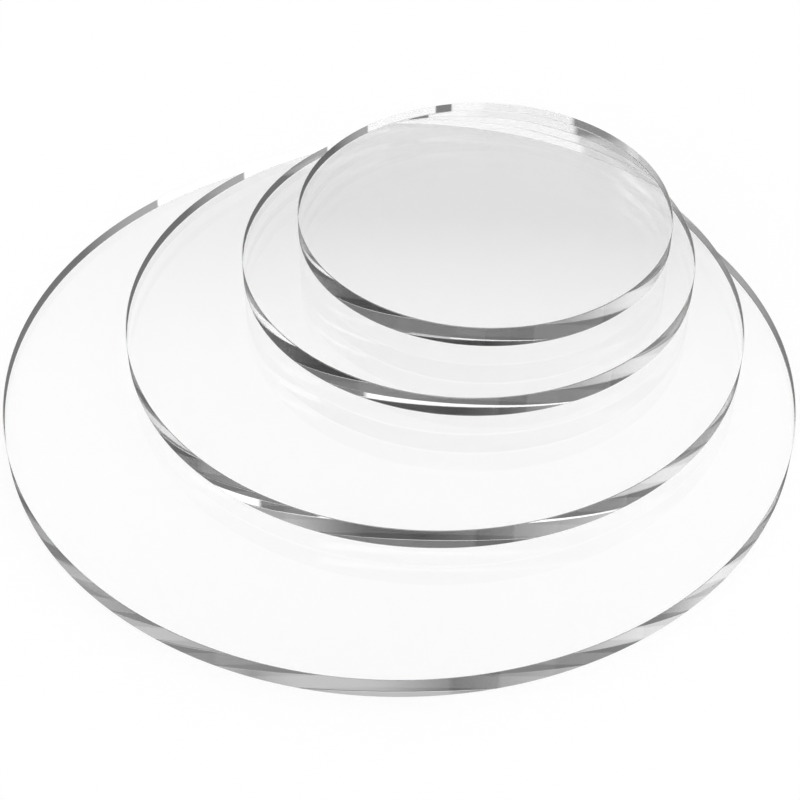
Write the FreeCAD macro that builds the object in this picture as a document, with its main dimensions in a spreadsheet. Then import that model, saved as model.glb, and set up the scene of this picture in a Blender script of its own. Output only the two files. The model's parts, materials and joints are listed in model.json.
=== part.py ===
import FreeCAD, Part
import os
import Sketcher

# Four loose circle templates: plain discs of clear acrylic sheet, each one smaller than the disc
# that it lies on. Nothing fastens them. They are stacked largest first and pushed back one way
# until all four rims are flush there, so that a step of each disc shows everywhere else.
#
# Millimetres, +Z up. The origin is the centre of the largest disc's underside.

DRIVING_SIZES = (
    # alias, value, what it is
    ("SheetThickness", 6.0, "thickness of the sheet that all four discs are cut from"),
    ("RimArris", 0.25, "bevel that breaks the two sharp edges of each polished rim"),
    ("LargestDiameter", 200.0, "diameter of the largest disc"),
    ("SecondDiameter", 160.0, "diameter of the second disc"),
    ("ThirdDiameter", 120.0, "diameter of the third disc"),
    ("SmallestDiameter", 100.0, "diameter of the smallest disc"),
    ("FlushHeading", 27.2, "degrees from +Y towards +X of the place where all the rims are flush"),
)

# From the bottom of the stack to the top. The first has no disc under it.
DISC_SIZE_NAMES = (
    ("largest_disc", "Largest"),
    ("second_disc", "Second"),
    ("third_disc", "Third"),
    ("smallest_disc", "Smallest"),
)


def make_sheet(doc):
    """The spreadsheet of driving sizes: what each one is in column A, its value in column B."""
    sheet = doc.addObject("Spreadsheet::Sheet", "Sizes")
    for row, (alias, value, meaning) in enumerate(DRIVING_SIZES, start=1):
        sheet.set(f"A{row}", meaning)
        sheet.set(f"B{row}", str(value))
        sheet.setAlias(f"B{row}", alias)
    doc.recompute()


def origin_plane(body, role):
    """The origin plane of a body that has the given role, such as XY_Plane."""
    return next(plane for plane in body.Origin.OriginFeatures if plane.Role == role)


def make_disc(doc, label, size_name):
    """A disc sawn from the sheet: a circle padded upwards, with both edges of its rim broken."""
    body = doc.addObject("PartDesign::Body", label)
    body.Label = label

    outline = body.newObject("Sketcher::SketchObject", f"{label}_outline")
    outline.AttachmentSupport = [(origin_plane(body, "XY_Plane"), "")]
    outline.MapMode = "FlatFace"
    circle = outline.addGeometry(Part.Circle())
    circle_centre, sketch_origin = (circle, 3), (-1, 1)
    outline.addConstraint(Sketcher.Constraint("Coincident", *circle_centre, *sketch_origin))
    diameter = outline.addConstraint(Sketcher.Constraint("Diameter", circle, 1.0))
    outline.setExpression(f"Constraints[{diameter}]", f"Sizes.{size_name}Diameter")

    blank = body.newObject("PartDesign::Pad", f"{label}_blank")
    blank.Profile = outline
    blank.setExpression("Length", "Sizes.SheetThickness")
    doc.recompute()

    rim_edges = [
        f"Edge{number}"
        for number, edge in enumerate(blank.Shape.Edges, start=1)
        if isinstance(edge.Curve, Part.Circle)
    ]
    arris = body.newObject("PartDesign::Chamfer", f"{label}_arris")
    arris.Base = (blank, rim_edges)
    arris.setExpression("Size", "Sizes.RimArris")
    return body


def lay_on(disc, size_name, disc_below, size_name_below):
    """Lay a disc on the one below, pushed along the heading until the two rims are flush."""
    push = f"(Sizes.{size_name_below}Diameter - Sizes.{size_name}Diameter) / 2 * 1 mm"
    heading = "Sizes.FlushHeading * 1 deg"
    below = f"{disc_below.Name}.Placement.Base"
    disc.setExpression("Placement.Base.x", f"{below}.x + {push} * sin({heading})")
    disc.setExpression("Placement.Base.y", f"{below}.y + {push} * cos({heading})")
    disc.setExpression("Placement.Base.z", f"{below}.z + Sizes.SheetThickness * 1 mm")


def check(doc, discs):
    """Stop if any object failed to compute, or if a disc isn't one sound solid."""
    for item in doc.Objects:
        if "Invalid" in item.State or "Error" in item.State:
            raise RuntimeError(f"{item.Label} did not compute: {item.State}")
    for disc in discs:
        shape = disc.Shape
        if shape.isNull() or not shape.isValid() or len(shape.Solids) != 1:
            raise RuntimeError(f"{disc.Label} is not one valid solid")


doc = FreeCAD.newDocument("circle_templates")
make_sheet(doc)

discs = [make_disc(doc, label, size_name) for label, size_name in DISC_SIZE_NAMES]
for level in range(1, len(discs)):
    size_name, size_name_below = DISC_SIZE_NAMES[level][1], DISC_SIZE_NAMES[level - 1][1]
    lay_on(discs[level], size_name, discs[level - 1], size_name_below)

doc.recompute()
check(doc, discs)

os.makedirs("parts", exist_ok=True)
for disc in discs:
    disc.Shape.exportStep(f"parts/{disc.Label}.step")
    box = disc.Shape.BoundBox
    print(f"{disc.Label}: {box.XLength:.2f} x {box.YLength:.2f} x {box.ZLength:.2f} mm, "
          f"centre ({box.Center.x:.3f}, {box.Center.y:.3f}), underside at {box.ZMin:.3f}")
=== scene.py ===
import json
import math

import bpy
import numpy as np
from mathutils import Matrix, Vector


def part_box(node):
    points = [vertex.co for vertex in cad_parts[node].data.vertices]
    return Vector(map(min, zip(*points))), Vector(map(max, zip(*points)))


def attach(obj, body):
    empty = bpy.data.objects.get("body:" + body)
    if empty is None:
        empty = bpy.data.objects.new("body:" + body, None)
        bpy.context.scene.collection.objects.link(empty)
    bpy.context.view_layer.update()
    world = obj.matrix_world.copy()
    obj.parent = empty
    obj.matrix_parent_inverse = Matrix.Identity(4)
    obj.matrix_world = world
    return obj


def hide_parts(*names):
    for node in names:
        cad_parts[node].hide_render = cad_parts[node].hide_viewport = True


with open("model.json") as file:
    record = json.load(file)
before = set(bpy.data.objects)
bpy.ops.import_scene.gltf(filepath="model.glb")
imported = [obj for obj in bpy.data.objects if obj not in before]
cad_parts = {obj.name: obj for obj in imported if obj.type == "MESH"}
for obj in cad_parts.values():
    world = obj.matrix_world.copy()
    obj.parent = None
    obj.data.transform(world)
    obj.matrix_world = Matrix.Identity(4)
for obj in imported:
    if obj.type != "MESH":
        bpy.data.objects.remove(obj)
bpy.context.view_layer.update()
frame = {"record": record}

scene = bpy.context.scene


# ---- The four discs ----
# Plain round templates in falling diameters, cut from one 6 mm sheet of cast clear acrylic. Each
# lies loose on the one below, with a film of air between. The faces keep the gloss of the glass
# plates that the sheet was cast between, and the sawn rims are flame-polished to the same gloss.

# Acrylic bends light by 1.49 or a little less, and good cast sheet has no tint of its own.
SHEET_IOR = 1.475
WATER_WHITE = "#FFFFFF"
# The sheet's slow waves: about 60 mm from one to the next and 0.02 mm high.
SHEET_WAVE = 0.060
SHEET_WAVE_DEPTH = 0.000020
# The saw's flutes on the rim, upright across the whole of it and 0.001 mm deep. They are drawn
# 2.5 mm apart, coarser than most saws leave them, so that they show.
FLUTE = 0.0025
FLUTE_RUN = 0.030
FLUTE_DEPTH = 0.000001
# How much finer waves lie in the slow ones, and how high they are beside them.
FINER_WAVES = 1.0
FINER_SHARE = 0.4


def linear(hex_colour):
    """An sRGB hex colour as linear RGBA. The sRGB curve is undone channel by channel: a straight
    line near black, and above it the power 2.4 of the channel moved up by 0.055 and rescaled."""
    channels = [int(hex_colour[i:i + 2], 16) / 255 for i in (1, 3, 5)]
    return [c / 12.92 if c <= 0.04045 else ((c + 0.055) / 1.055) ** 2.4 for c in channels] + [1.0]


def add_node(tree, kind, settings=None, **inputs):
    """Add a node: settings are its properties; inputs are values or other nodes' outputs. An
    input is called by its name, with _ for a space, or by its number after a _."""
    node = tree.nodes.new(kind)
    for name, value in (settings or {}).items():
        setattr(node, name, value)
    for name, value in inputs.items():
        key = int(name[1:]) if name[0] == "_" else name.replace("_", " ")
        if isinstance(value, bpy.types.NodeSocket):
            tree.links.new(value, node.inputs[key])
        else:
            node.inputs[key].default_value = value
    return node


def clear_acrylic(name, spacing, depth):
    """Clear acrylic that bends light a little less than window glass does and keeps none of it.
    Its gloss has soft waves: a noise over the surface, divided by the spacing along x, y and z,
    so that one wave takes one spacing, and as high as the depth."""
    material = bpy.data.materials.new(name)
    material.use_nodes = True
    tree = material.node_tree
    tree.nodes.clear()
    place = add_node(tree, "ShaderNodeTexCoord")
    drawn_out = add_node(tree, "ShaderNodeMapping", None, Vector=place.outputs["Object"],
                         Scale=[1 / length for length in spacing])
    waves = add_node(tree, "ShaderNodeTexNoise", None, Vector=drawn_out.outputs["Vector"],
                     Scale=1.0, Detail=FINER_WAVES, Roughness=FINER_SHARE)
    relief = add_node(tree, "ShaderNodeBump", None, Distance=depth, Height=waves.outputs["Fac"])
    sheet = add_node(tree, "ShaderNodeBsdfPrincipled", None, Base_Color=linear(WATER_WHITE),
                     Roughness=0.0, IOR=SHEET_IOR, Transmission_Weight=1.0,
                     Normal=relief.outputs["Normal"])
    add_node(tree, "ShaderNodeOutputMaterial", None, Surface=sheet.outputs["BSDF"])
    return material


# Cast sheet: slow waves from the casting, some centimetres long and far too low to feel, which
# make the light that the faces mirror swim a little.
cast_face = clear_acrylic("cast_acrylic_face", [SHEET_WAVE] * 3, SHEET_WAVE_DEPTH)
# Flame-polished rim: the saw's upright flutes, melted down to a ripple that shows only as a
# slight unevenness along the dark and light lines mirrored in the rim.
polished_rim = clear_acrylic("flame_polished_acrylic_rim", [FLUTE, FLUTE, FLUTE_RUN], FLUTE_DEPTH)


# The hair of rounding that polishing leaves on the edges, and the film of air between two discs.
ARRIS = 0.00020
AIR_FILM = 0.00004
# Points round each disc, and steps in each rounded edge: fine enough that the mirrored lines in
# clear plastic run smoothly.
AROUND = 720
ARRIS_STEPS = 4


def rim_profile(radius, underside, top):
    """Half the section of a disc, from the middle of its underside round the rim to the middle
    of its top: the radius and height of each point, and the outward normal's share of both.
    Each edge is a quarter circle whose centre lies one arris in from the rim and the face."""
    turn = np.linspace(-math.pi / 2, 0, ARRIS_STEPS + 1)
    angle = np.concatenate([[-math.pi / 2], turn, turn + math.pi / 2, [math.pi / 2]])
    centre_height = np.concatenate([
        np.full(ARRIS_STEPS + 2, underside + ARRIS), np.full(ARRIS_STEPS + 2, top - ARRIS)])
    out = radius - ARRIS + ARRIS * np.cos(angle)
    out[[0, -1]] = 0
    return out, centre_height + ARRIS * np.sin(angle), np.cos(angle), np.sin(angle)


def turned_disc(name, centre, radius, underside, top):
    """The profile carried round the disc's axis: a point at angle a stands at
    (radius cos a, radius sin a, height) from the disc's centre, and its normal turns with it."""
    out, height, normal_out, normal_up = rim_profile(radius, underside, top)
    rings = len(out) - 2
    angle = np.linspace(0, 2 * math.pi, AROUND, endpoint=False)

    def carried(share_out, share_up, middle_x=0.0, middle_y=0.0):
        """The rings first, from the lowest up, then the low and the high middle."""
        x = middle_x + np.outer(share_out[1:-1], np.cos(angle))
        y = middle_y + np.outer(share_out[1:-1], np.sin(angle))
        z = np.outer(share_up[1:-1], np.ones(AROUND))
        ring_points = np.stack([x, y, z], axis=-1).reshape(-1, 3)
        poles = [[middle_x, middle_y, share_up[0]], [middle_x, middle_y, share_up[-1]]]
        return np.vstack([ring_points, poles])

    points = carried(out, height, *centre)
    normals = carried(normal_out, normal_up)
    here = np.arange(AROUND)
    after = (here + 1) % AROUND
    ring = np.arange(rings - 1)[:, None] * AROUND
    walls = np.stack([ring + here, ring + after, ring + AROUND + after, ring + AROUND + here],
                     axis=-1).reshape(-1, 4)
    last = (rings - 1) * AROUND
    low_pole, high_pole = rings * AROUND, rings * AROUND + 1
    low_fan = np.stack([np.full(AROUND, low_pole), after, here], axis=-1)
    high_fan = np.stack([np.full(AROUND, high_pole), last + here, last + after], axis=-1)

    mesh = bpy.data.meshes.new(name)
    mesh.from_pydata(points.tolist(), [], walls.tolist() + low_fan.tolist() + high_fan.tolist())
    mesh.polygons.foreach_set("use_smooth", np.ones(len(mesh.polygons), dtype=bool))
    # The two round faces take the sheet's material, which is the first, and the wall the rim's.
    is_face = np.arange(len(mesh.polygons)) >= len(walls)
    mesh.polygons.foreach_set("material_index", np.where(is_face, 0, 1))
    mesh.normals_split_custom_set_from_vertices(normals.tolist())
    mesh.update()
    disc = bpy.data.objects.new(name, mesh)
    scene.collection.objects.link(disc)
    return disc


MM_IN_METRE = 1000
rims = {mount["name"]: mount for mount in frame["record"]["mounts"] if mount["kind"] == "pin"}
for size in ("largest", "second", "third", "smallest"):
    rim = rims[f"{size}_rim"]
    low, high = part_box(f"{size}_disc")
    disc = turned_disc(f"{size}_template", rim["pos_m"][:2], rim["dims"]["r_mm"] / MM_IN_METRE,
                       low.z + AIR_FILM / 2, high.z - AIR_FILM / 2)
    disc.data.materials.append(cast_face)
    disc.data.materials.append(polished_rim)
    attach(disc, size)
    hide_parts(f"{size}_disc")


# ---- The bench ----
# A plain white bench top, wide enough that no edge of it shows. Looked at straight, or through the
# discs, it is plain white, with the faint shade that the discs' rims cast round their feet. Light
# that a disc has turned back comes from below too, so for it the bench is open like a glass table.

BENCH_SIDE = 4.0
BENCH_WHITE = "#FFFFFF"
# The share of the bench's white that takes shade.
SHADE_SHARE = 0.15

bench_half = BENCH_SIDE / 2
bench_mesh = bpy.data.meshes.new("bench_top")
bench_corners = [(-bench_half, -bench_half, 0), (bench_half, -bench_half, 0),
                 (bench_half, bench_half, 0), (-bench_half, bench_half, 0)]
bench_mesh.from_pydata(bench_corners, [], [(0, 1, 2, 3)])
bench_top = bpy.data.objects.new("bench_top", bench_mesh)
scene.collection.objects.link(bench_top)


def turned_back(tree, times):
    """1 for light that the discs have thrown back at least this many times, 0 for the rest."""
    path = add_node(tree, "ShaderNodeLightPath")
    return add_node(tree, "ShaderNodeMath", {"operation": "GREATER_THAN"},
                    _0=path.outputs["Glossy Depth"], _1=times - 0.5).outputs[0]


# White laminate, matt and even: it gives the eye nothing but plain white and the discs' shade.
bench_white = bpy.data.materials.new("white_laminate_bench")
bench_white.use_nodes = True
tree = bench_white.node_tree
tree.nodes.clear()
plain = add_node(tree, "ShaderNodeEmission", None, Color=linear(BENCH_WHITE), Strength=1.0)
shaded = add_node(tree, "ShaderNodeBsdfDiffuse", None, Color=linear(BENCH_WHITE))
laminate = add_node(tree, "ShaderNodeMixShader", None, _0=SHADE_SHARE,
                    _1=plain.outputs[0], _2=shaded.outputs[0])
open_table = add_node(tree, "ShaderNodeBsdfTransparent")
# Light scattered by the bench itself never finds it open, so the shade is worked out plainly.
path = add_node(tree, "ShaderNodeLightPath")
opened = add_node(tree, "ShaderNodeMath", {"operation": "GREATER_THAN"},
                  _0=turned_back(tree, 1), _1=path.outputs["Diffuse Depth"])
bench_look = add_node(tree, "ShaderNodeMixShader", None, _0=opened.outputs[0],
                      _1=laminate.outputs[0], _2=open_table.outputs[0])
add_node(tree, "ShaderNodeOutputMaterial", None, Surface=bench_look.outputs[0])
bench_mesh.materials.append(bench_white)


# ---- The studio ----
# A dim room round the bench, with a window on the left, a high soft light at the back, white walls
# behind the camera and a pale ceiling. Clear plastic has no colour of its own: its edges are drawn
# by the parts of the room that they mirror and bend.

studio = bpy.data.worlds.new("studio")
scene.world = studio
studio.use_nodes = True
tree = studio.node_tree
tree.nodes.clear()

# The direction of each part of the room, as a heading and a rise in degrees.
toward = add_node(tree, "ShaderNodeTexCoord")
split = add_node(tree, "ShaderNodeSeparateXYZ", None, Vector=toward.outputs["Generated"])
turn = add_node(tree, "ShaderNodeMath", {"operation": "ARCTAN2"},
                _0=split.outputs["X"], _1=split.outputs["Y"])
climb = add_node(tree, "ShaderNodeMath", {"operation": "ARCSINE"}, _0=split.outputs["Z"])
heading = add_node(tree, "ShaderNodeMath", {"operation": "DEGREES"}, _0=turn.outputs[0])
rise = add_node(tree, "ShaderNodeMath", {"operation": "DEGREES"}, _0=climb.outputs[0])


def lit_area(level, headings=(), rises=()):
    """A part of the room: its brightness times a smooth step for each pair of degrees, which is 0
    at the pair's first and 1 at its second. Headings run from +Y towards +X, rises from level."""
    light = level
    for angle, steps in ((heading, headings), (rise, rises)):
        for dark_at, lit_at in steps:
            step = add_node(tree, "ShaderNodeMapRange", {"interpolation_type": "SMOOTHSTEP"},
                            Value=angle.outputs[0], From_Min=dark_at, From_Max=lit_at)
            light = add_node(tree, "ShaderNodeMath", {"operation": "MULTIPLY"},
                             _0=light, _1=step.outputs[0]).outputs[0]
    return light


def brightest(areas):
    """The brightness of the brightest area at each place."""
    total = 0.0
    for area in areas:
        total = add_node(tree, "ShaderNodeMath", {"operation": "MAXIMUM"},
                         _0=total, _1=area).outputs[0]
    return total


# The rises between which the parts of the room below and above the bench top fade in.
BELOW = (-8, -20)
ABOVE = (-8, 8)
# The white walls stand in more light than the bench does, which is 1.
WALL_WHITE = 1.32

# Below the bench top: the dim floor, lighter to the left and the right and close underneath.
dark_floor = lit_area(0.16, rises=[BELOW])
left_floor = lit_area(0.36, headings=[(0, -65)], rises=[BELOW])
right_floor = lit_area(0.42, headings=[(50, 100), (151, 149)], rises=[BELOW])
left_floor_near = lit_area(0.85, headings=[(-30, -56)], rises=[(-47, -48)])
floor_under = lit_area(0.48, rises=[(-52.0, -52.4)])
# The white walls at the sides and behind the camera, seen below the bench top. The foot of the
# right one is darker, a darker rail runs across the back one, and between the two is a dark gap.
left_wall_foot = lit_area(0.95, headings=[(-60, -118)], rises=[(-33.8, -34.3), (-43, -40)])
right_wall = lit_area(WALL_WHITE, headings=[(101, 103), (151, 149)], rises=[BELOW, (-43.5, -42)])
right_wall_foot = lit_area(0.85, headings=[(101, 103), (151, 149)], rises=[BELOW])
right_corner = lit_area(WALL_WHITE, headings=[(128, 134), (151, 149)], rises=[BELOW])
back_wall = lit_area(WALL_WHITE, headings=[(163, 166)], rises=[(-41.8, -42.6)])
back_wall_rail = lit_area(0.55, headings=[(163, 166)], rises=[BELOW])
back_wall_top = lit_area(WALL_WHITE, headings=[(159, 161)], rises=[BELOW, (-40.4, -39.4)])
left_wall = lit_area(WALL_WHITE, headings=[(-118, -125)], rises=[BELOW])
over_the_gap = lit_area(WALL_WHITE, headings=[(149, 151), (161, 159)], rises=[BELOW, (-33, -31)])
# Above the bench top: an almost dark room, the window and the high soft light at the back.
dark_upper_room = lit_area(0.03)
window = lit_area(1.00, headings=[(10, -60), (-100, -78)], rises=[ABOVE])
window_middle = lit_area(1.40, headings=[(-58, -72), (-86, -78)], rises=[ABOVE])
high_light = lit_area(0.45, headings=[(-14, 6), (28, 12)], rises=[(47.5, 50.5)])
high_light_right = lit_area(0.42, headings=[(8, 28), (50, 44)], rises=[(43, 47)])
high_light_end = lit_area(0.28, headings=[(38, 46), (85, 70)], rises=[(45.5, 47.5)])
far_right = lit_area(0.30, headings=[(65, 105)], rises=[ABOVE])
room = brightest([
    dark_floor, left_floor, left_floor_near, right_floor, floor_under, left_wall, left_wall_foot,
    right_wall, right_wall_foot, right_corner, back_wall, back_wall_rail, back_wall_top,
    over_the_gap, dark_upper_room, window, window_middle, high_light, high_light_right,
    high_light_end, far_right])

# What the discs' top faces mirror first: the pale ceiling, lighter low down and in one broad band.
dim_ceiling = lit_area(0.42)
light_band = lit_area(0.88, rises=[(32, 42), (62, 44)])
low_ceiling = lit_area(0.90, rises=[(34, 26)])
ceiling = brightest([dim_ceiling, light_band, low_ceiling])

# A first glance upwards meets the ceiling, anything else that a disc has turned back meets the
# room, and light that no disc has turned back meets plain white.
upward = add_node(tree, "ShaderNodeMath", {"operation": "GREATER_THAN"},
                  _0=split.outputs["Z"], _1=0.0)
first_glance = add_node(tree, "ShaderNodeMath", {"operation": "SUBTRACT", "use_clamp": True},
                        _0=upward.outputs[0], _1=turned_back(tree, 2))
surround = add_node(tree, "ShaderNodeMix", {"data_type": "FLOAT"},
                    _0=first_glance.outputs[0], _2=room, _3=ceiling)
light = add_node(tree, "ShaderNodeMix", {"data_type": "FLOAT"},
                 _0=turned_back(tree, 1), _2=1.0, _3=surround.outputs[0])
glow = add_node(tree, "ShaderNodeBackground", None, Color=linear(BENCH_WHITE),
                Strength=light.outputs[0])
add_node(tree, "ShaderNodeOutputWorld", None, Surface=glow.outputs[0])

# Light goes to and fro many times inside a rim before it gets out, and it stays sharp throughout.
MOST_TURNS = 64
scene.cycles.max_bounces = MOST_TURNS
scene.cycles.glossy_bounces = MOST_TURNS
scene.cycles.transmission_bounces = MOST_TURNS
scene.cycles.diffuse_bounces = 1
scene.cycles.blur_glossy = 0.0
scene.view_settings.view_transform = "Standard"


# ---- The camera ----
# A short telephoto lens, less than half a metre from the discs, that looks down on them a little
# less steeply than halfway. It stands square to the bench and leans to neither side.

# Its angle above the bench, its distance in metres from the point that it looks at, that point,
# and the focal length in millimetres.
ELEVATION = math.radians(42.864)
DISTANCE = 0.44614
AIM = (0.000175, -0.005662, 0.0)
LENS = 78.61

camera_data = bpy.data.cameras.new("camera")
camera_data.lens = LENS
camera = bpy.data.objects.new("camera", camera_data)
camera.location = (AIM[0], AIM[1] - DISTANCE * math.cos(ELEVATION), DISTANCE * math.sin(ELEVATION))
camera.rotation_euler = (math.pi / 2 - ELEVATION, 0, 0)
scene.collection.objects.link(camera)
scene.camera = camera
